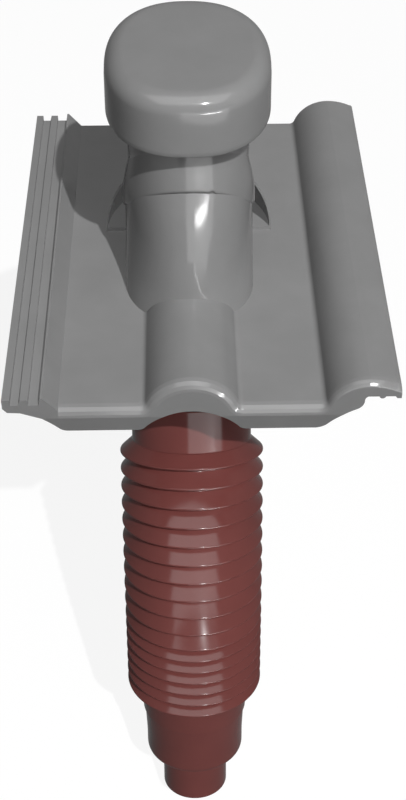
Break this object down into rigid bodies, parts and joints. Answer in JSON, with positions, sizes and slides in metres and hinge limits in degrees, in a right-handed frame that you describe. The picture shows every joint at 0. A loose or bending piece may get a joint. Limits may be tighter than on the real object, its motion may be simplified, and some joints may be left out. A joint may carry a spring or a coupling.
{
  "type": "roof tile vent",
  "caption": "Plastic double-roll roof tile with a domed duct, slanted oval hood and rain cap, and a ribbed flexible hose with a stepped reducer hanging below.",
  "frame": {"origin": "middle of the head bar's underside, the seat that bears on the roof batten", "axes": "+X across the roof to the right, +Y up the slope towards the ridge, +Z square to the tile, away from the roof"},
  "size_m": [0.323, 0.4863, 0.7345],
  "materials": {
    "grey_plastic": "semi_gloss_moulded",
    "red_brown_plastic": "semi_gloss_moulded",
    "seal_rubber": "matte"
  },
  "bodies": {
    "root": {"base_tile": "grey_plastic", "upper_hood": "grey_plastic", "rain_cap": "grey_plastic", "bellows_hose": "red_brown_plastic", "stepped_reducer": "red_brown_plastic", "hose_seal": "seal_rubber", "reducer_seal": "seal_rubber"}
  },
  "joints": []
}
